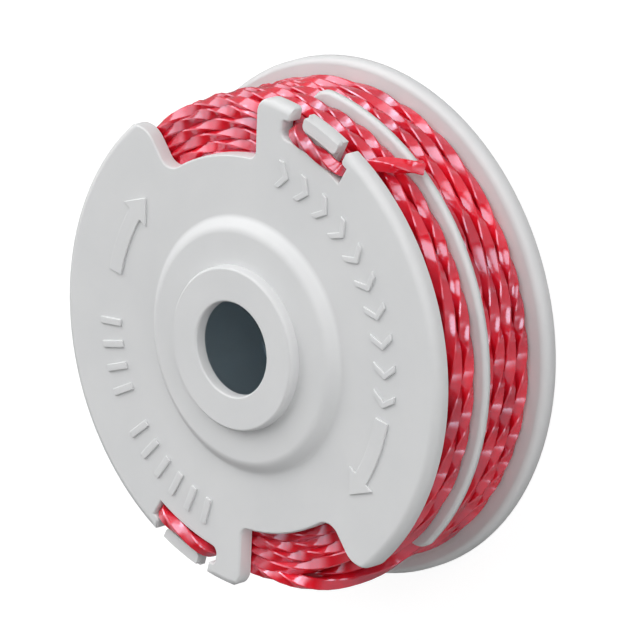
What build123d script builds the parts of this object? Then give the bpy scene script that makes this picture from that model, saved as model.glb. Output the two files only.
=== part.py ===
"""Trimmer line spool: a moulded spool with two tracks and a twisted line wound on each."""

import os
from math import cos, degrees, radians, sin

from build123d import *

os.makedirs("parts", exist_ok=True)

# Flanges and tracks, in millimetres, from the rear face forward
rear_radius = 29.75
rear_thickness = 2.2
rear_rim_chamfer = 0.8
rear_edge_chamfer = 0.3
rear_track = 7.5
divider_radius = 29.0
divider_thickness = 1.4
divider_rim_chamfer = 0.45
front_track = 5.8
front_radius = 29.0
front_thickness = 1.8
front_rim_round = 1.0
front_edge_chamfer = 0.25

# Hub and stepped boss
core_radius = 15.5
hub_wall = 1.9
boss_base_radius = 14.6
boss_radius = 13.5
boss_height = 1.4
boss_wall = 1.5
boss_chamfer = 0.55
boss_foot_chamfer = 0.35
nose_radius = 9.4
nose_height = 2.7
nose_wall = 1.4
nose_chamfer = 0.35
bore_radius = 5.4
bore_chamfer = 0.25

# Drive ramps inside the hub
ramp_count = 8
ramp_depth = 1.8
ramp_height = 3.0
ramp_inset = 0.6
ramp_sweep = 34.0

# Line and its windings
line_side = 1.2
line_bend = 1.1
lead_sweep = 5.0
line_clearance = 0.1
route_clearance = 0.2
front_winding_radius = 27.7
rear_winding_radius = 27.3
front_turns = 4
rear_turns = 5
turn_relief = 0.4
layer_pitch = 1.2
open_layers = 3
lane_layers = 2
free_end_sweep = 10.5
free_end_rise = 0.3

# Notches of the front flange, angles in degrees counted from +X
notch_start = 65.7
notch_end = 104.1
notch_depth = 7.4
horn_round = 3.0
lug_round = 2.0
notch_lead_round = 2.0
notch_corner_round = 0.9

# Line clips of the front flange
clip_start = 35.2
clip_end = 57.0
clip_play = 0.8
hook_width = 1.7
tooth_tip = 37.2
hook_tip = 55.0
clip_round = 0.4
clip_slot_round = 0.8
tab_start = 40.0
tab_end = 51.3
tab_clearance = 0.35
tab_neck_thickness = 0.8
lip_setback = 0.3
lip_round = 0.6

# Divider gaps, which let the rear line through
divider_gap_start = 64.0
divider_gap_end = 108.0
divider_corner_round = 2.6
crossing_inset = 1.0
crossing_step = 8.0

# Heights and radii worked out from the sizes above
divider_back = rear_thickness + rear_track
divider_front = divider_back + divider_thickness
flange_back = divider_front + front_track
face_height = flange_back + front_thickness
boss_top = face_height + boss_height
nose_top = face_height + nose_height
hub_radius = core_radius - hub_wall
hub_middle = core_radius - hub_wall / 2
notch_floor_radius = front_radius - notch_depth
clip_roof_radius = front_radius - hook_width
clip_floor_radius = clip_roof_radius - line_side - clip_play


def polar(angle, radius):
    """Give the point at an angle in degrees and a radius."""
    return (radius * cos(radians(angle)), radius * sin(radians(angle)))


def opposite(point):
    """Turn a point half way round the axis."""
    return (-point[0], -point[1])


def nearest(shape, *points):
    """Pick the vertices of a shape that lie nearest to the given points."""
    return [shape.vertices().sort_by_distance(point)[0] for point in points]


def sector(inner, outer, start, end):
    """Draw the ring sector between two radii and two angles."""
    with BuildSketch() as ring:
        with BuildLine():
            outer_arc = CenterArc((0, 0), outer, start, end - start)
            inner_arc = CenterArc((0, 0), inner, start, end - start)
            Line(outer_arc @ 0, inner_arc @ 0)
            Line(outer_arc @ 1, inner_arc @ 1)
        make_face()
    return ring.sketch


def ramp():
    """Draw one drive ramp, which rises from the hub's wall to a square stop."""
    with BuildSketch() as wedge:
        with BuildLine():
            Polyline(
                polar(0, hub_middle),
                polar(ramp_sweep, hub_middle),
                polar(ramp_sweep, hub_radius - ramp_depth),
                polar(0, hub_radius),
                close=True,
            )
        make_face()
    return wedge.sketch


# Divider in two arcs, open where the front flange is notched
with BuildPart() as divider:
    gap_reach = divider_radius + divider_corner_round
    with BuildSketch(Plane.XY.offset(divider_back)) as divider_outline:
        Circle(divider_radius)
        Circle(hub_middle, mode=Mode.SUBTRACT)
        with PolarLocations(0, 2):
            add(sector(core_radius, gap_reach, divider_gap_start, divider_gap_end), mode=Mode.SUBTRACT)
        for gap_edge in (divider_gap_start, divider_gap_end):
            corner = polar(gap_edge, divider_radius)
            fillet(nearest(divider_outline, corner, opposite(corner)), divider_corner_round)
    extrude(amount=divider_thickness)
    for face in (divider.faces().sort_by(Axis.Z)[0], divider.faces().sort_by(Axis.Z)[-1]):
        chamfer(face.outer_wire().edges(), divider_rim_chamfer)

# Front flange with two notches and two line clips, each on its own side of the axis
with BuildPart() as flange:
    notch_reach = front_radius + horn_round
    with BuildSketch(Plane.XY.offset(flange_back)) as outline:
        Circle(front_radius)
        Circle(hub_middle, mode=Mode.SUBTRACT)
        with PolarLocations(0, 2):
            add(sector(notch_floor_radius, notch_reach, notch_start, notch_end), mode=Mode.SUBTRACT)
            add(sector(clip_floor_radius, clip_roof_radius, clip_start, clip_end), mode=Mode.SUBTRACT)
            add(sector(clip_floor_radius, notch_reach, tooth_tip, hook_tip), mode=Mode.SUBTRACT)
        for angle, radius, rounding in (
            (notch_end, front_radius, horn_round),
            (notch_start, front_radius, lug_round),
            (notch_end, notch_floor_radius, notch_lead_round),
            (notch_start, notch_floor_radius, notch_corner_round),
            (hook_tip, front_radius, clip_round),
            (hook_tip, clip_roof_radius, clip_round),
            (tooth_tip, front_radius, clip_round),
            (tooth_tip, clip_roof_radius, clip_round),
            (clip_end, clip_roof_radius, clip_round),
            (clip_end, clip_floor_radius, clip_slot_round),
        ):
            corner = polar(angle, radius)
            fillet(nearest(outline, corner, opposite(corner)), rounding)
    extrude(amount=front_thickness)
    chamfer(flange.faces().sort_by(Axis.Z)[-1].outer_wire().edges(), front_edge_chamfer)

    # Tab in each clip: a thin neck at the back and a lip that keeps the line in
    with BuildSketch(Plane.XY.offset(flange_back)):
        with PolarLocations(0, 2):
            add(sector(clip_floor_radius - clip_round, front_radius, tab_start, tab_end))
    extrude(amount=tab_neck_thickness)
    with BuildSketch(Plane.XY.offset(flange_back)) as lip_outline:
        with PolarLocations(0, 2):
            add(sector(clip_roof_radius, front_radius, tab_start, tab_end))
        fillet(lip_outline.vertices(), lip_round)
    extrude(amount=front_thickness - lip_setback)

    # Rim rounded towards the face in two facets
    rim_bulge = front_rim_round * (1 - cos(radians(45)))
    with BuildSketch(Plane.XZ):
        with BuildLine():
            Polyline(
                (front_radius, face_height - front_rim_round),
                (front_radius - rim_bulge, face_height - rim_bulge),
                (front_radius - front_rim_round, face_height),
                (front_radius - front_rim_round, face_height + front_rim_round),
                (front_radius + front_rim_round, face_height + front_rim_round),
                (front_radius + front_rim_round, face_height - front_rim_round),
                close=True,
            )
        make_face()
    revolve(axis=Axis.Z, mode=Mode.SUBTRACT)

with BuildPart() as spool:
    # Hub, rear flange and stepped boss as one turned section
    with BuildSketch(Plane.XZ) as section:
        with BuildLine():
            Polyline(
                (hub_radius, 0),
                (rear_radius, 0),
                (rear_radius, rear_thickness),
                (core_radius, rear_thickness),
                (core_radius, face_height),
                (boss_base_radius, face_height),
                (boss_radius, boss_top),
                (nose_radius, boss_top),
                (nose_radius, nose_top),
                (bore_radius, nose_top),
                (bore_radius, nose_top - nose_wall),
                (nose_radius - nose_wall, nose_top - nose_wall),
                (nose_radius - nose_wall, boss_top - boss_wall),
                (boss_radius - boss_wall, boss_top - boss_wall),
                (boss_radius - boss_wall, flange_back - hub_wall),
                (hub_radius, flange_back - hub_wall),
                close=True,
            )
        make_face()
        chamfer(nearest(section, (rear_radius, rear_thickness)), rear_rim_chamfer)
        chamfer(nearest(section, (rear_radius, 0)), rear_edge_chamfer)
        chamfer(nearest(section, (boss_radius, boss_top)), boss_chamfer)
        chamfer(nearest(section, (boss_base_radius, face_height)), boss_foot_chamfer)
        chamfer(nearest(section, (nose_radius, nose_top)), nose_chamfer)
        chamfer(nearest(section, (bore_radius, nose_top)), bore_chamfer)
    revolve(axis=Axis.Z)
    add(divider.part)
    add(flange.part)

    # Drive ramps round the hub
    with BuildSketch(Plane.XY.offset(ramp_inset)):
        with PolarLocations(0, ramp_count):
            add(ramp())
    extrude(amount=ramp_height)

spool.part.label = "spool"
export_step(spool.part, "parts/spool.step")


def place(angle, radius, depth):
    """Give the point at an angle, a radius and a depth behind the front face."""
    return (*polar(angle, radius), face_height - depth)


def turns(width, count):
    """Give the corners of turns side by side: how far along, and how far under the crests."""
    pitch = width / count
    corners = [(0, turn_relief)]
    for turn in range(count):
        corners.append((pitch * (turn + 0.5), 0))
        corners.append((pitch * (turn + 1), turn_relief))
    return corners


def line_along(points, bend=0):
    """Make the square line along straight runs, with round bends or plain ones."""
    with BuildPart() as run:
        with BuildLine() as path:
            if bend:
                FilletPolyline(*points, radius=bend)
            else:
                Polyline(*points)
        start = path.line @ 0
        with BuildSketch(Plane(start, x_dir=(start.X, start.Y, 0), z_dir=path.line % 0)):
            Rectangle(line_side, line_side)
        sweep(path=path.line, transition=Transition.RIGHT)
    return run.part


# A line's end in the upper clip: forward past the hook, straight over the tab, back past the tooth
line_half = line_side / 2
clip_chord = clip_floor_radius + line_clearance + line_half
clip_middle = (tab_start + tab_end) / 2
tab_margin = degrees((line_half + tab_clearance) / clip_chord)
enter_angle = tab_end + tab_margin
leave_angle = tab_start - tab_margin
lead_angle = enter_angle + lead_sweep
tab_depth = front_thickness - tab_neck_thickness - route_clearance - line_half
lane_depth = front_thickness + route_clearance + line_half
divider_depth = face_height - divider_front
front_crest = front_winding_radius + line_clearance + line_half
divider_crest = divider_radius + route_clearance + line_half


def on_chord(angle, depth):
    """Give the point at an angle on the straight way over the tab."""
    return place(angle, clip_chord / cos(radians(angle - clip_middle)), depth)


end_in_clip = line_along(
    [
        on_chord(lead_angle, lane_depth),
        on_chord(enter_angle, lane_depth),
        on_chord(enter_angle, tab_depth),
        on_chord(leave_angle, tab_depth),
        on_chord(leave_angle, lane_depth + line_half),
    ],
    line_bend,
)
free_end = line_along(
    [
        on_chord(leave_angle, lane_depth),
        place(leave_angle - free_end_sweep / 2, front_crest + free_end_rise, lane_depth + free_end_rise),
        place(leave_angle - free_end_sweep, divider_crest, divider_depth),
    ]
)

# Front line, whose last turn comes along a lane behind the flange
front_top = flange_back - line_clearance
front_width = front_track - 2 * line_clearance
lane_width = line_side + 2 * route_clearance
lane_back = front_top - lane_width
lane_radius = front_winding_radius - lane_layers * layer_pitch
lane_middle = lane_radius + line_half
front_lead = line_along(
    [
        place(notch_end, lane_middle - line_side, lane_depth),
        place((notch_end + lead_angle) / 2, lane_middle, lane_depth),
        on_chord(lead_angle, lane_depth),
    ]
)
with BuildPart() as front_line:
    crests = turns(front_width - lane_width, front_turns - 1)
    layers = turns(layer_pitch * open_layers, open_layers)
    with BuildSketch(Plane.XZ):
        with BuildLine():
            Polyline(
                (core_radius + line_clearance, front_top - front_width),
                (core_radius + line_clearance, front_top - turn_relief),
                *[(lane_radius - along, front_top - relief) for along, relief in reversed(layers)],
                (lane_radius, lane_back),
                *[(front_winding_radius - relief, lane_back - along) for along, relief in crests],
                close=True,
            )
        make_face()
    revolve(axis=Axis.Z)
    add(front_lead)
    add(end_in_clip)
    add(free_end)

front_line.part.label = "front_line"
export_step(front_line.part, "parts/front_line.step")

# Rear line, whose last turn comes through the divider's gap and over the front winding
rear_top = divider_back - line_clearance
rear_width = rear_track - 2 * line_clearance
crossing = [divider_gap_end - crossing_inset - crossing_step * step for step in range(4)]
rear_lead = line_along(
    [
        place(crossing[0], rear_winding_radius - line_half, divider_depth + divider_thickness + line_side),
        place(crossing[1], front_crest, divider_depth),
        place(crossing[2], front_crest + line_clearance, (divider_depth + lane_depth) / 2),
        place(crossing[3], front_crest, lane_depth),
        on_chord(lead_angle, lane_depth),
    ]
)
with BuildPart() as rear_line:
    crests = turns(rear_width, rear_turns)
    with BuildSketch(Plane.XZ):
        with BuildLine():
            Polyline(
                (core_radius + line_clearance, rear_top - rear_width),
                (core_radius + line_clearance, rear_top),
                *[(rear_winding_radius - relief, rear_top - along) for along, relief in crests],
                close=True,
            )
        make_face()
    revolve(axis=Axis.Z)
    with PolarLocations(0, 1, start_angle=180):
        add(rear_lead)
        add(end_in_clip)
        add(free_end)

rear_line.part.label = "rear_line"
export_step(rear_line.part, "parts/rear_line.step")
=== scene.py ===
# %% [markdown]
# # A trimmer line spool
# The object is a small moulded spool with two tracks of twisted red line. This file loads the CAD
# model as a fixed frame, sets the camera, winds both lines turn by turn, gives the moulding its
# finish, adds the raised signs of the front face, and ends with the floor and the light.

# %% Load the frame
import math
import random

import bmesh
import bpy
from mathutils import Matrix, Vector


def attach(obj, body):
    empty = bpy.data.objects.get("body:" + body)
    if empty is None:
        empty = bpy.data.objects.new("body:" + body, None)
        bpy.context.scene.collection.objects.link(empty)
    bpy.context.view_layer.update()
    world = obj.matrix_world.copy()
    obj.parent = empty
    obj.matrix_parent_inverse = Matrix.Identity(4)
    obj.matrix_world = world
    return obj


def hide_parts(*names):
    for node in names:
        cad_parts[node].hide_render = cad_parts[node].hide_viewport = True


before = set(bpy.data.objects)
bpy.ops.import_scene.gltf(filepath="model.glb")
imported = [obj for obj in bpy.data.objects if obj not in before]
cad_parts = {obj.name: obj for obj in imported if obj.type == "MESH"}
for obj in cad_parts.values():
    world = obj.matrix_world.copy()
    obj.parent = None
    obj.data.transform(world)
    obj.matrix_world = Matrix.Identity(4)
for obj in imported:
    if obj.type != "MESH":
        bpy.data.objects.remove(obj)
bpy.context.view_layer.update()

MM = 0.001
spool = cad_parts["spool"]

# %% [markdown]
# ## Sizes shared with the solid model
# The heights count from the rear face, on which the spool stands. They are the sizes of the moulding,
# so the lines and the raised signs sit on it without any fitting.

# %% Sizes of the moulding
REAR_THICKNESS = 2.2 * MM
REAR_TRACK = 7.5 * MM
DIVIDER_THICKNESS = 1.4 * MM
FRONT_TRACK = 5.8 * MM
FRONT_THICKNESS = 1.8 * MM
CORE_RADIUS = 15.5 * MM

DIVIDER_BACK = REAR_THICKNESS + REAR_TRACK
DIVIDER_FRONT = DIVIDER_BACK + DIVIDER_THICKNESS
FLANGE_BACK = DIVIDER_FRONT + FRONT_TRACK
FACE_HEIGHT = FLANGE_BACK + FRONT_THICKNESS
print("front face at", round(FACE_HEIGHT / MM, 2), "mm")


def place(angle, radius, height):
    """Give the point at an angle in degrees, a radius and a height."""
    turn = math.radians(angle)
    return Vector((radius * math.cos(turn), radius * math.sin(turn), height))


# %% [markdown]
# ## The camera
# The photograph was taken with a long lens from above the front face, with the camera turned on its
# side. The view line leans 46 degrees from the spool's axis, and the axis runs 15 degrees off level in
# the picture. A camera could be aimed by a constraint, but that can't turn it on its side, so three
# vectors give its turn: the view line, the picture's right and the picture's up.

# %% Camera
LENS_PIXELS = 8010.0
FRAME_PIXELS = 640.0
SENSOR = 36.0
TILT = math.radians(46.07)
ROLL = math.radians(15.2)
FACE_CENTRE_PIXEL = (247.5, 345.0)
PIXELS_PER_MM = 8.966

view_line = Vector((math.sin(TILT), 0, math.cos(TILT)))
along = Vector((math.cos(TILT), 0, -math.sin(TILT)))
across = Vector((0, 1, 0))
picture_right = math.cos(ROLL) * along - math.sin(ROLL) * across
picture_up = math.sin(ROLL) * along + math.cos(ROLL) * across

distance = LENS_PIXELS / PIXELS_PER_MM * MM
shift_right = (FACE_CENTRE_PIXEL[0] - FRAME_PIXELS / 2) / LENS_PIXELS * distance
shift_up = -(FACE_CENTRE_PIXEL[1] - FRAME_PIXELS / 2) / LENS_PIXELS * distance
eye = Vector((0, 0, FACE_HEIGHT)) + distance * view_line
eye -= shift_right * picture_right + shift_up * picture_up

camera_data = bpy.data.cameras.new("camera")
camera_data.sensor_width = SENSOR
camera_data.lens = LENS_PIXELS / FRAME_PIXELS * SENSOR
camera = bpy.data.objects.new("camera", camera_data)
bpy.context.scene.collection.objects.link(camera)
camera_turn = Matrix((picture_right, picture_up, view_line)).transposed().to_4x4()
camera.matrix_world = Matrix.Translation(eye) @ camera_turn
bpy.context.scene.camera = camera
print("camera at", [round(v, 3) for v in eye], "lens", round(camera_data.lens, 1))

# %% [markdown]
# ## The way of the line
# The line is a square nylon strand, twisted along its length, and a machine has wound it in even
# layers. Each turn lies flat in its place and steps over to the next place in one short stretch, always
# on the same side of the spool. A helix would be simpler, but it leans all the way round, and the
# photograph shows strands that run level with the rims, so the rule here is a flat turn with one step.
# Where an end leaves or crosses the winding, the outer turns dip a little.

# %% Winding rule
POINTS_A_TURN = 36
STEP_SWEEP = 40.0
STEP_END = 160.0
WANDER = 0.05 * MM
SPLINE_CORRECTION = 1 / math.cos(math.pi / POINTS_A_TURN)


def smooth_step(share):
    """Ease a share from 0 to 1 without a kink at either end."""
    share = min(max(share, 0.0), 1.0)
    return share * share * (3 - 2 * share)


def seats(turns, layers, inner, outer, low, high):
    """List the radius and height of every turn from the hub out, each layer the other way."""
    places = []
    for layer in range(layers):
        row = [low + (high - low) * turn / (turns - 1) for turn in range(turns)]
        if (layers - layer) % 2 == 0:
            row.reverse()
        radius = inner + (outer - inner) * layer / (layers - 1)
        places += [Vector((radius, height)) for height in row]
    return places


def winding(places, end_angle, dips, seed):
    """List the points of a line from the hub out to the angle where it leaves the winding.

    Each dip is an angle, a sweep and a depth by which the outer turns are pressed in there.
    """
    wander = random.Random(seed)
    outer = places[-1][0]
    sweep = 360 * (len(places) - 1) + STEP_END - end_angle
    count = round(sweep / 360 * POINTS_A_TURN)
    points = []
    for index in range(count + 1):
        swept = sweep * index / count
        angle = STEP_END - swept
        number = min(int(swept // 360), len(places) - 1)
        after = min(number + 1, len(places) - 1)
        share = smooth_step((swept % 360 - 360 + STEP_SWEEP) / STEP_SWEEP)
        radius, height = places[number].lerp(places[after], share)
        for middle, reach, depth in dips:
            off = ((angle - middle + 180) % 360 - 180) / reach
            radius -= depth * math.exp(-off * off) * (radius / outer) ** 4
        radius = radius * SPLINE_CORRECTION + wander.uniform(-WANDER, WANDER)
        height += wander.uniform(-WANDER, WANDER)
        points.append(place(angle, radius, height))
    return points


print("winding rule:", POINTS_A_TURN, "points a turn")

# %% [markdown]
# ## The ends of the line
# Each line leaves its winding and is held in a clip of the front flange: it comes forward past the
# hook, lies on the tab under the lip, goes back past the tooth and ends as a short cut end over the rim.
# The rear line first comes forward through the gap of the divider. These few points steer a smooth
# spline, and the spline cuts the corners as the stiff line does.

# %% Routes into the clips
CLIP_CHORD = 26.1 * MM
CLIP_MIDDLE = 45.65
LANE_HEIGHT = 16.1 * MM
TAB_HEIGHT = 18.5 * MM


def on_chord(angle, height):
    """Give a point on the straight way over the tab of the upper clip."""
    return place(angle, CLIP_CHORD / math.cos(math.radians(angle - CLIP_MIDDLE)), height)


clip_route = [
    on_chord(60.0, LANE_HEIGHT),
    on_chord(54.4, LANE_HEIGHT),
    on_chord(53.8, TAB_HEIGHT),
    on_chord(45.6, TAB_HEIGHT),
    on_chord(36.6, TAB_HEIGHT),
    on_chord(36.3, LANE_HEIGHT),
    place(32.6, 28.7 * MM, 15.6 * MM),
    place(29.9, 29.3 * MM, 13.5 * MM),
    place(27.4, 29.8 * MM, 11.1 * MM),
]
front_lead = [
    place(92, 27.2 * MM, 15.1 * MM),
    place(80, 27.0 * MM, 15.8 * MM),
    place(69, 26.7 * MM, 16.1 * MM),
]
crossing = [
    place(100, 28.3 * MM, 11.1 * MM),
    place(91, 28.4 * MM, 13.8 * MM),
    place(83, 28.0 * MM, 15.8 * MM),
    place(72, 26.9 * MM, 16.1 * MM),
]
half_turn = Matrix.Rotation(math.pi, 3, "Z")
rear_ends = [half_turn @ point for point in crossing + clip_route]
print("steering points:", len(front_lead + clip_route), "front,", len(rear_ends), "rear")

# %% Points of both lines
LAYERS = 10
FRONT_TURNS = 3
REAR_TURNS = 4
FRONT_CREST = 28.0 * MM
REAR_CREST = 27.8 * MM
HALF_SEAT = 0.78 * MM
SIDE_GAP = 0.1 * MM
FRONT_LEAVES = 104
REAR_LEAVES = -72
UNDER_CROSSING = (-86, 16, 0.45 * MM)
BESIDE_LEAD = (117, 14, 0.75 * MM)

front_seats = seats(
    turns=FRONT_TURNS,
    layers=LAYERS,
    inner=CORE_RADIUS + HALF_SEAT,
    outer=FRONT_CREST - HALF_SEAT,
    low=DIVIDER_FRONT + SIDE_GAP + HALF_SEAT,
    high=FLANGE_BACK - SIDE_GAP - HALF_SEAT,
)
rear_seats = seats(
    turns=REAR_TURNS,
    layers=LAYERS,
    inner=CORE_RADIUS + HALF_SEAT,
    outer=REAR_CREST - HALF_SEAT,
    low=REAR_THICKNESS + SIDE_GAP + HALF_SEAT,
    high=DIVIDER_BACK - SIDE_GAP - HALF_SEAT,
)
front_wound = winding(front_seats, FRONT_LEAVES, (UNDER_CROSSING, BESIDE_LEAD), seed=3)
rear_wound = winding(rear_seats, REAR_LEAVES, (), seed=5)
front_points = front_wound + front_lead + clip_route
rear_points = rear_wound + rear_ends
print("turns:", len(front_seats), "front,", len(rear_seats), "rear")

# %% [markdown]
# ## Helpers for nodes
# Materials, the sky and Geometry Nodes are all node trees, so one helper adds a node to any of them. It
# sets the node's options first, because they decide which sockets the node has, and then its links and
# values. Three more helpers give the noise, the two colours and the fine relief that both finishes use.

# %% Node helpers
RAMP_ENDS = (0.3, 0.7)


def feed(tree, node, inputs):
    """Give a node's inputs their links or values, by socket name or number."""
    for name, source in inputs.items():
        if hasattr(source, "is_output"):
            tree.links.new(source, node.inputs[name])
        else:
            node.inputs[name].default_value = source


def add_node(tree, kind, inputs=None, **settings):
    """Add a node to a tree, with its settings first and then its inputs."""
    node = tree.nodes.new(kind)
    for name, value in settings.items():
        setattr(node, name, value)
    feed(tree, node, inputs or {})
    return node


def calculate(tree, operation, *inputs):
    """Add a step of arithmetic to a tree and give its result."""
    return add_node(tree, "ShaderNodeMath", dict(enumerate(inputs)), operation=operation).outputs[0]


def noise(tree, spot, scale, detail):
    """Add a noise over a piece, with its scale in repeats a metre."""
    inputs = {"Vector": spot, "Scale": scale, "Detail": detail}
    return add_node(tree, "ShaderNodeTexNoise", inputs).outputs["Fac"]


def two_colours(tree, share, first, second):
    """Blend two colours over the middle of a noise."""
    ramp = add_node(tree, "ShaderNodeValToRGB", {"Fac": share})
    for element, position, colour in zip(ramp.color_ramp.elements, RAMP_ENDS, (first, second)):
        element.position = position
        element.color = (*colour, 1)
    return ramp.outputs["Color"]


def fine_relief(tree, height, strength, depth):
    """Turn a noise into the fine relief of a surface."""
    inputs = {"Height": height, "Strength": strength, "Distance": depth}
    return add_node(tree, "ShaderNodeBump", inputs).outputs["Normal"]


def new_finish(name):
    """Start a material and give it back with its tree and its shader."""
    finish = bpy.data.materials.new(name)
    finish.use_nodes = True
    return finish, finish.node_tree, finish.node_tree.nodes["Principled BSDF"]


print("colours blend over", RAMP_ENDS, "of a noise")

# %% [markdown]
# ## The finish of the line
# The line is red nylon, clear enough to glow a little and glossy on its four flat sides, so each side
# flashes pale where it turns towards a bright part of the sky. Painted spots would stay in place when
# the light moves, so the flashes are left to the shader: a smooth surface that reflects strongly, over
# a red that the light enters. The colour varies slowly along the line, by the length that the strand
# tree keeps on its points.

# %% Line finish
DARK_RED = (0.52, 0.007, 0.018)
BRIGHT_RED = (0.86, 0.009, 0.024)

red_nylon, tree, shader = new_finish("red_nylon")
run_length = add_node(tree, "ShaderNodeAttribute", attribute_name="along").outputs["Fac"]
streak = add_node(
    tree,
    "ShaderNodeTexNoise",
    {"W": run_length, "Scale": 90.0, "Detail": 3.0},
    noise_dimensions="1D",
)
spot = add_node(tree, "ShaderNodeTexCoord").outputs["Object"]
grain = noise(tree, spot, scale=2500.0, detail=2.0)
feed(
    tree,
    shader,
    {
        "Base Color": two_colours(tree, streak.outputs["Fac"], DARK_RED, BRIGHT_RED),
        "Roughness": 0.14,
        "IOR": 1.85,
        "Specular IOR Level": 1.0,
        "Specular Tint": (0.65, 0.80, 1.0, 1),
        "Subsurface Weight": 0.45,
        "Subsurface Radius": (1.0, 0.1, 0.12),
        "Subsurface Scale": 1.2 * MM,
        "Normal": fine_relief(tree, grain, strength=0.12, depth=0.05 * MM),
    },
)
print("finish:", red_nylon.name)

# %% [markdown]
# ## The twisted strand
# A square drawn along the spline would give straight edges. Geometry Nodes turn the spline a little
# more at each point, in step with the length run so far, and a slow noise makes the twist uneven, as in
# real line. The same tree makes both lines.

# %% Strand tree, the turned way
LINE_SIDE = 1.36 * MM
LINE_CHAMFER = 0.13 * MM
TWIST_PITCH = 22.3 * MM
TWIST_UNEVENNESS = 1.4
UNEVEN_SCALE = 14.0


def input_socket(tree, name, kind, value=None):
    """Add a named input to a tree."""
    socket = tree.interface.new_socket(name, in_out="INPUT", socket_type=kind)
    if value is not None:
        socket.default_value = value


strand_tree = bpy.data.node_groups.new("twisted_strand", "GeometryNodeTree")
input_socket(strand_tree, "Geometry", "NodeSocketGeometry")
input_socket(strand_tree, "Side", "NodeSocketFloat", LINE_SIDE)
input_socket(strand_tree, "Chamfer", "NodeSocketFloat", LINE_CHAMFER)
input_socket(strand_tree, "Twist pitch", "NodeSocketFloat", TWIST_PITCH)
input_socket(strand_tree, "Unevenness", "NodeSocketFloat", TWIST_UNEVENNESS)
input_socket(strand_tree, "Finish", "NodeSocketMaterial")
strand_tree.interface.new_socket("Geometry", in_out="OUTPUT", socket_type="NodeSocketGeometry")

given = add_node(strand_tree, "NodeGroupInput").outputs
way = add_node(
    strand_tree, "GeometryNodeResampleCurve", {"Curve": given["Geometry"]}, mode="EVALUATED"
)
run = add_node(strand_tree, "GeometryNodeSplineParameter").outputs["Length"]
uneven = add_node(
    strand_tree, "ShaderNodeTexNoise", {"W": run, "Scale": UNEVEN_SCALE}, noise_dimensions="1D"
)
even_turns = calculate(strand_tree, "DIVIDE", run, given["Twist pitch"])
turns = calculate(
    strand_tree, "MULTIPLY_ADD", uneven.outputs[0], given["Unevenness"], even_turns
)
tilt = calculate(strand_tree, "MULTIPLY", turns, math.tau)
tilted = add_node(
    strand_tree, "GeometryNodeSetCurveTilt", {"Curve": way.outputs[0], "Tilt": tilt}
)
marked = add_node(
    strand_tree,
    "GeometryNodeStoreNamedAttribute",
    {"Geometry": tilted.outputs[0], "Name": "along", "Value": run},
    data_type="FLOAT",
    domain="POINT",
)
print("strand side", round(LINE_SIDE / MM, 2), "mm, one turn in", round(TWIST_PITCH / MM, 1), "mm")

# %% [markdown]
# ## The section of the strand
# The section is a square with small chamfers, because the real edges catch a thin line of light. A
# twisted side is not flat: it leans one way at one edge and the other way at the other. Each side is
# cut in three across its width, so that the shading knows this and the flashes become short lozenges.
# With one face across, they would be bars. The edges of the chamfers stay sharp by their angle.

# %% Strand tree, the swept section
SIDE_CUTS = 2
CREASE_ANGLE = math.radians(38)

square = add_node(
    strand_tree,
    "GeometryNodeCurvePrimitiveQuadrilateral",
    {"Width": given["Side"], "Height": given["Side"]},
    mode="RECTANGLE",
)
chamfered = add_node(
    strand_tree,
    "GeometryNodeFilletCurve",
    {"Curve": square.outputs[0], "Radius": given["Chamfer"], "Count": 1},
    mode="POLY",
)
corner_number = add_node(strand_tree, "GeometryNodeInputIndex").outputs[0]
starts_side = calculate(strand_tree, "MODULO", corner_number, 2)
cuts = calculate(strand_tree, "MULTIPLY", starts_side, SIDE_CUTS)
section = add_node(
    strand_tree, "GeometryNodeSubdivideCurve", {"Curve": chamfered.outputs[0], "Cuts": cuts}
)
swept = add_node(
    strand_tree,
    "GeometryNodeCurveToMesh",
    {"Curve": marked.outputs[0], "Profile Curve": section.outputs[0], "Fill Caps": True},
)
smooth = add_node(strand_tree, "GeometryNodeSetShadeSmooth", {"Geometry": swept.outputs[0]})
bend = add_node(strand_tree, "GeometryNodeInputMeshEdgeAngle").outputs["Unsigned Angle"]
crease = add_node(
    strand_tree, "FunctionNodeCompare", {"A": bend, "B": CREASE_ANGLE}, operation="GREATER_THAN"
)
creased = add_node(
    strand_tree,
    "GeometryNodeSetShadeSmooth",
    {"Geometry": smooth.outputs[0], "Selection": crease.outputs[0], "Shade Smooth": False},
    domain="EDGE",
)
realized = add_node(strand_tree, "GeometryNodeRealizeInstances", {"Geometry": creased.outputs[0]})
finished = add_node(
    strand_tree,
    "GeometryNodeSetMaterial",
    {"Geometry": realized.outputs[0], "Material": given["Finish"]},
)
add_node(strand_tree, "NodeGroupOutput", {"Geometry": finished.outputs[0]})
print("strand tree:", len(strand_tree.nodes), "nodes")

# %% [markdown]
# ## Both lines as plain meshes
# The spline is measured first, which gives the length of line on the spool. The tree then runs on it,
# and its result becomes a plain mesh that takes the place of the line's solid, which is hidden.

# %% Run a tree
SPLINE_ORDER = 3
SPLINE_STEPS = 4


def link(name, data):
    """Put an object with this data into the scene, at the origin."""
    thing = bpy.data.objects.new(name, data)
    bpy.context.scene.collection.objects.link(thing)
    return thing


def as_mesh(thing):
    """Give a plain mesh of an object with its modifiers run."""
    graph = bpy.context.evaluated_depsgraph_get()
    return bpy.data.meshes.new_from_object(
        thing.evaluated_get(graph), preserve_all_data_layers=True, depsgraph=graph
    )


def run_tree(thing, tree, **values):
    """Run a tree on an object, with inputs by their names, and give the plain mesh that it makes."""
    modifier = thing.modifiers.new(tree.name, "NODES")
    modifier.node_group = tree
    for item in tree.interface.items_tree:
        if item.in_out == "INPUT" and item.name in values:
            modifier[item.identifier] = values[item.name]
    mesh = as_mesh(thing)
    thing.modifiers.remove(modifier)
    return mesh


print("spline order", SPLINE_ORDER, "with", SPLINE_STEPS, "steps a point")

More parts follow.
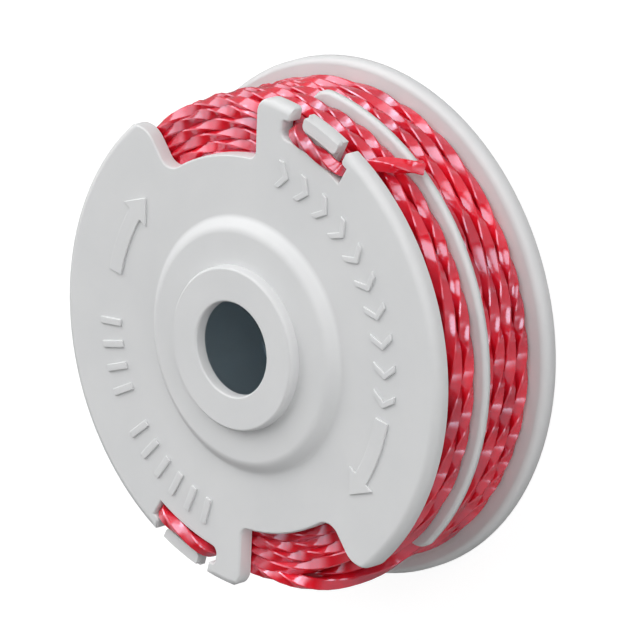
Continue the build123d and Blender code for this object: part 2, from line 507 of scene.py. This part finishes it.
# %% Wind the lines


def wind(name, points):
    """Make the twisted line along a smooth spline through the winding and its end."""
    curve = bpy.data.curves.new(name + "_way", "CURVE")
    curve.dimensions = "3D"
    spline = curve.splines.new("NURBS")
    spline.points.add(len(points) - 1)
    for control, point in zip(spline.points, points):
        control.co = (*point, 1)
    spline.order_u = SPLINE_ORDER
    spline.use_endpoint_u = True
    spline.resolution_u = SPLINE_STEPS
    steered = link(name + "_way", curve)
    corners = [vertex.co for vertex in as_mesh(steered).vertices]
    length = sum((b - a).length for a, b in zip(corners, corners[1:]))
    mesh = run_tree(steered, strand_tree, Finish=red_nylon)
    bpy.data.objects.remove(steered)
    print(name, round(length, 3), "m,", len(mesh.polygons), "faces")
    return link(name, mesh)


for name, points, node in (
    ("front_strand", front_points, "front_line"),
    ("rear_strand", rear_points, "rear_line"),
):
    line = wind(name, points)
    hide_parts(node)
    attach(line, "root")

# %% [markdown]
# ## The moulding
# The spool is satin grey nylon with a fine sparked skin. The walls inside the hub get a painted
# shade, a cooler and slightly darker grey that stands in for the dim light in there. A second material
# would need its own faces, and the mesh of the solid stays as it is, so one material finds the hub by
# the distance from the axis and the height.

# %% Moulding finish
PALE_GREY = (0.615, 0.620, 0.624)
DEEP_GREY = (0.585, 0.592, 0.598)
# painted shade: a cooler, slightly darker grey on the hub walls stands in for the dim light inside the
# hub
HUB_PAINTED_SHADE = (0.46, 0.58, 0.65, 1)
HUB_REACH = 13.7 * MM
HUB_TOP = 15.0 * MM

grey_nylon, tree, shader = new_finish("grey_nylon")
spot = add_node(tree, "ShaderNodeTexCoord").outputs["Object"]
tone = two_colours(tree, noise(tree, spot, scale=120, detail=4), DEEP_GREY, PALE_GREY)
position = add_node(tree, "ShaderNodeSeparateXYZ", {"Vector": spot}).outputs
level = add_node(tree, "ShaderNodeCombineXYZ", {"X": position["X"], "Y": position["Y"]})
off_axis = add_node(tree, "ShaderNodeVectorMath", {0: level.outputs[0]}, operation="LENGTH")
near_axis = calculate(tree, "LESS_THAN", off_axis.outputs["Value"], HUB_REACH)
below_boss = calculate(tree, "LESS_THAN", position["Z"], HUB_TOP)
# mask of the hub walls that take the painted shade in place of the moulding's tone
hub_shade_mask = calculate(tree, "MULTIPLY", near_axis, below_boss)
colour = add_node(
    tree, "ShaderNodeMix", {"Factor": hub_shade_mask, "A": tone, "B": HUB_PAINTED_SHADE}, data_type="RGBA"
)
satin = add_node(
    tree,
    "ShaderNodeMapRange",
    {"Value": noise(tree, spot, scale=700, detail=3), "To Min": 0.42, "To Max": 0.54},
)
sparks = noise(tree, spot, scale=5000, detail=2)
feed(
    tree,
    shader,
    {
        "Base Color": colour.outputs["Result"],
        "Roughness": satin.outputs["Result"],
        "IOR": 1.5,
        "Subsurface Weight": 0.08,
        "Subsurface Radius": (1.0, 0.95, 0.9),
        "Subsurface Scale": 0.8 * MM,
        "Normal": fine_relief(tree, sparks, strength=0.08, depth=0.03 * MM),
    },
)
print("finish:", grey_nylon.name)

# %% [markdown]
# ## The shading of the moulding
# The solid is already right, so it keeps its mesh and gets smooth shading by modifiers: its corners are
# merged, the triangles of each flat face are joined, sharp edges are kept by their angle, and the
# normals follow the large faces, so the small chamfers read as the soft rounds of a mould.

# %% Moulding shading
MERGE_DISTANCE = 0.001 * MM
FLAT_ANGLE = math.radians(1)
SHARP_ANGLE = math.radians(50)
FACE_WEIGHT = 100

spool.data.materials.clear()
spool.data.materials.append(grey_nylon)
spool.data.shade_smooth()
weld = spool.modifiers.new("weld", "WELD")
weld.merge_threshold = MERGE_DISTANCE
flat = spool.modifiers.new("flat", "DECIMATE")
flat.decimate_type = "DISSOLVE"
flat.angle_limit = FLAT_ANGLE
split = spool.modifiers.new("split", "EDGE_SPLIT")
split.split_angle = SHARP_ANGLE
even = spool.modifiers.new("even", "WEIGHTED_NORMAL")
even.mode = "FACE_AREA"
even.weight = FACE_WEIGHT
even.keep_sharp = True
print("moulding:", len(spool.data.polygons), "faces")

# %% [markdown]
# ## Raised signs
# Two curved arrows on the front face show the way to wind, and bands of small plain signs fill the rest
# of the ring. Each sign is drawn once beside the X axis and repeated round the axis by a small tree,
# then stands a quarter of a millimetre proud of the face.

# %% Row tree
row_tree = bpy.data.node_groups.new("row_round_axis", "GeometryNodeTree")
input_socket(row_tree, "Geometry", "NodeSocketGeometry")
input_socket(row_tree, "Count", "NodeSocketInt", 2)
input_socket(row_tree, "First", "NodeSocketFloat")
input_socket(row_tree, "Step", "NodeSocketFloat")
input_socket(row_tree, "Finish", "NodeSocketMaterial")
row_tree.interface.new_socket("Geometry", in_out="OUTPUT", socket_type="NodeSocketGeometry")

given = add_node(row_tree, "NodeGroupInput").outputs
spots = add_node(row_tree, "GeometryNodeMeshLine", {"Count": given["Count"], "Offset": (0, 0, 0)})
number = add_node(row_tree, "GeometryNodeInputIndex").outputs[0]
swing = calculate(row_tree, "MULTIPLY_ADD", number, given["Step"], given["First"])
turned = add_node(row_tree, "ShaderNodeCombineXYZ", {"Z": swing})
copies = add_node(
    row_tree,
    "GeometryNodeInstanceOnPoints",
    {"Points": spots.outputs[0], "Instance": given["Geometry"], "Rotation": turned.outputs[0]},
)
realized = add_node(row_tree, "GeometryNodeRealizeInstances", {"Geometry": copies.outputs[0]})
finished = add_node(
    row_tree,
    "GeometryNodeSetMaterial",
    {"Geometry": realized.outputs[0], "Material": given["Finish"]},
)
add_node(row_tree, "NodeGroupOutput", {"Geometry": finished.outputs[0]})
print("row tree:", len(row_tree.nodes), "nodes")

# %% Raise a row of signs
SIGN_HEIGHT = 0.25 * MM
SIGN_SINK = 0.05 * MM
SIGN_BEVEL = 0.1 * MM


def raised_sign(name, outline):
    """Give the mesh of a flat outline that is raised from the front face."""
    shape = bmesh.new()
    base = FACE_HEIGHT - SIGN_SINK
    foot = [shape.verts.new((x, y, base)) for x, y in outline]
    face = shape.faces.new(foot)
    raised = bmesh.ops.extrude_face_region(shape, geom=[face])
    for item in raised["geom"]:
        if isinstance(item, bmesh.types.BMVert):
            item.co.z += SIGN_HEIGHT + SIGN_SINK
    bmesh.ops.recalc_face_normals(shape, faces=shape.faces)
    mesh = bpy.data.meshes.new(name)
    shape.to_mesh(mesh)
    shape.free()
    return mesh


def sign_row(name, outline, count, first, step):
    """Raise a sign and repeat it round the axis, from a first angle by a step in degrees."""
    drawn = link(name + "_drawn", raised_sign(name, outline))
    mesh = run_tree(
        drawn,
        row_tree,
        Count=count,
        First=math.radians(first),
        Step=math.radians(step),
        Finish=grey_nylon,
    )
    bpy.data.objects.remove(drawn)
    row = link(name, mesh)
    mesh.shade_smooth()
    soft = row.modifiers.new("soft", "BEVEL")
    soft.width = SIGN_BEVEL
    soft.segments = 2
    soft.limit_method = "ANGLE"
    even = row.modifiers.new("even", "WEIGHTED_NORMAL")
    even.keep_sharp = True
    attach(row, "root")
    print(name, count, "signs")


print("signs stand", round(SIGN_HEIGHT / MM, 2), "mm proud")

# %% Arrows
ARROW_RADIUS = 21.3 * MM
ARROW_HALF = 0.95 * MM
ARROW_HEAD = 2.1 * MM
ARROW_TAIL = 14.5
ARROW_NECK = -7
ARROW_TIP = -14.5
ARC_STEPS = 12


def at(angle, radius):
    """Give a flat point by its angle in degrees and its radius."""
    return tuple(place(angle, radius, 0).xy)


def arc(radius, start, end):
    """List the flat points of an arc."""
    return [at(start + (end - start) * i / ARC_STEPS, radius) for i in range(ARC_STEPS + 1)]


arrow = [
    *arc(ARROW_RADIUS + ARROW_HALF, ARROW_TAIL, ARROW_NECK),
    at(ARROW_NECK, ARROW_RADIUS + ARROW_HEAD),
    at(ARROW_TIP, ARROW_RADIUS),
    at(ARROW_NECK, ARROW_RADIUS - ARROW_HEAD),
    *arc(ARROW_RADIUS - ARROW_HALF, ARROW_NECK, ARROW_TAIL),
]
sign_row("winding_arrows", arrow, count=2, first=131.5, step=180)

# %% Chevrons and bars
CHEVRON_RADIUS = 21.2 * MM
CHEVRON_HALF = 1.6 * MM
CHEVRON_REACH = 1.1 * MM
CHEVRON_STROKE = 0.8 * MM
chevron = [
    (CHEVRON_RADIUS + CHEVRON_HALF, CHEVRON_REACH),
    (CHEVRON_RADIUS, 0),
    (CHEVRON_RADIUS - CHEVRON_HALF, CHEVRON_REACH),
    (CHEVRON_RADIUS - CHEVRON_HALF, CHEVRON_REACH - CHEVRON_STROKE),
    (CHEVRON_RADIUS, -CHEVRON_STROKE),
    (CHEVRON_RADIUS + CHEVRON_HALF, CHEVRON_REACH - CHEVRON_STROKE),
]
sign_row("winding_chevrons", chevron, count=10, first=53, step=-9)

BAR_RADIUS = 21.6 * MM
BAR_HALF = 1.6 * MM
BAR_STROKE = 0.42 * MM
bar = [
    (BAR_RADIUS + BAR_HALF, BAR_STROKE),
    (BAR_RADIUS - BAR_HALF, BAR_STROKE),
    (BAR_RADIUS - BAR_HALF, -BAR_STROKE),
    (BAR_RADIUS + BAR_HALF, -BAR_STROKE),
]
sign_row("grip_bars_lower", bar, count=6, first=-129, step=-7)
sign_row("grip_bars_upper", bar, count=4, first=-177, step=-7)

# %% [markdown]
# ## The floor
# The spool stands on a white floor. To light a floor until it is white, the light would have to be too
# strong for the object, and a white floor would tint the red line pink. So the floor has a low colour
# and a light of its own, which the camera sees in full and reflections in part. The shadow falls on
# what is lit from outside, so it stays as a soft grey.

# %% Floor
FLOOR_HALF = 3.0
FLOOR_DROP = 0.02 * MM
FLOOR_COLOUR = (0.25, 0.25, 0.25, 1)
FLOOR_GLOW = 0.86
MIRRORED_SHARE = 0.08

floor_corners = ((-1, -1), (1, -1), (1, 1), (-1, 1))
floor_mesh = bpy.data.meshes.new("floor")
floor_mesh.from_pydata(
    [(x * FLOOR_HALF, y * FLOOR_HALF, -FLOOR_DROP) for x, y in floor_corners], [], [(0, 1, 2, 3)]
)
floor = link("floor", floor_mesh)
white_floor, tree, shader = new_finish("white_floor")
rays = add_node(tree, "ShaderNodeLightPath").outputs
seen = calculate(tree, "MAXIMUM", rays["Is Camera Ray"], rays["Is Transmission Ray"])
shown = calculate(tree, "MULTIPLY_ADD", rays["Is Glossy Ray"], MIRRORED_SHARE, seen)
feed(
    tree,
    shader,
    {
        "Base Color": FLOOR_COLOUR,
        "Roughness": 0.9,
        "Emission Color": (1, 1, 1, 1),
        "Emission Strength": calculate(tree, "MULTIPLY", shown, FLOOR_GLOW),
    },
)
floor_mesh.materials.append(white_floor)
print("floor:", 2 * FLOOR_HALF, "m wide")

# %% [markdown]
# ## The light
# The photograph was lit by large soft sources on several sides. Panels with hard edges draw bars on the
# twisted line, so the light is a nearly dark sky with soft oval glows where the sources were. One weak
# lamp at the side lifts the rims and the red. Reflections don't show it, because there it would wash
# out the colour of the line.

# %% Sky
SKY_BASE = 0.02
GLOW_EDGE = 0.25
GLOWS = (
    {"toward": (0.66, 0.30, 0.69), "wide": 34, "high": 12, "strength": 2.4},
    {"toward": (0.80, -0.10, 0.59), "wide": 26, "high": 6, "strength": 3.4},
    {"toward": (0.38, 0.77, 0.51), "wide": 34, "high": 16, "strength": 1.8},
    {"toward": (-0.20, 0.86, 0.45), "wide": 45, "high": 30, "strength": 1.0},
    {"toward": (-0.20, 0.86, 0.45), "wide": 14, "high": 10, "strength": 2.6},
    {"toward": (-0.70, 0.60, 0.39), "wide": 40, "high": 40, "strength": 1.15},
    {"toward": (0.15, -0.88, 0.45), "wide": 50, "high": 50, "strength": 0.36},
)

world = bpy.data.worlds.new("pale_sky")
world.use_nodes = True
sky = world.node_tree
direction = add_node(sky, "ShaderNodeTexCoord").outputs["Generated"]


def sky_glow(toward, wide, high, strength):
    """Give a soft oval glow in the sky, by its middle and its half width and height in degrees."""
    middle = Vector(toward).normalized()
    level_axis = Vector((0, 1, 0)).cross(middle).normalized()
    steep_axis = middle.cross(level_axis)
    offset = add_node(sky, "ShaderNodeCombineXYZ")
    for socket, axis, half in (("X", level_axis, wide), ("Y", steep_axis, high)):
        scaled = axis / math.sin(math.radians(half))
        part = add_node(
            sky, "ShaderNodeVectorMath", {0: direction, 1: scaled}, operation="DOT_PRODUCT"
        )
        sky.links.new(part.outputs["Value"], offset.inputs[socket])
    away = add_node(sky, "ShaderNodeVectorMath", {0: offset.outputs[0]}, operation="LENGTH")
    fade = add_node(
        sky,
        "ShaderNodeMapRange",
        {
            "Value": away.outputs["Value"],
            "From Min": 1 + GLOW_EDGE,
            "From Max": 1 - GLOW_EDGE,
            "To Max": strength,
        },
        interpolation_type="SMOOTHSTEP",
    )
    return fade.outputs["Result"]


brightness = SKY_BASE
for glow in GLOWS:
    brightness = calculate(sky, "ADD", brightness, sky_glow(**glow))
feed(sky, sky.nodes["Background"], {"Color": (1, 1, 1, 1), "Strength": brightness})
bpy.context.scene.world = world
bpy.context.scene.view_settings.view_transform = "Standard"
print("sky:", len(GLOWS), "glows")

# %% Side lamp
LAMP_TOWARD = (0.99, 0.0, 0.10)
LAMP_DISTANCE = 0.5
LAMP_SIZE = 0.3
LAMP_WATTS = 0.5

lamp_data = bpy.data.lights.new("side_lamp", "AREA")
lamp_data.size = LAMP_SIZE
lamp_data.energy = LAMP_WATTS
side_lamp = link("side_lamp", lamp_data)
lamp_axis = Vector(LAMP_TOWARD).normalized()
side_lamp.location = LAMP_DISTANCE * lamp_axis
side_lamp.rotation_euler = lamp_axis.to_track_quat("Z", "Y").to_euler()
side_lamp.visible_glossy = False
print("lamp:", LAMP_WATTS, "W")
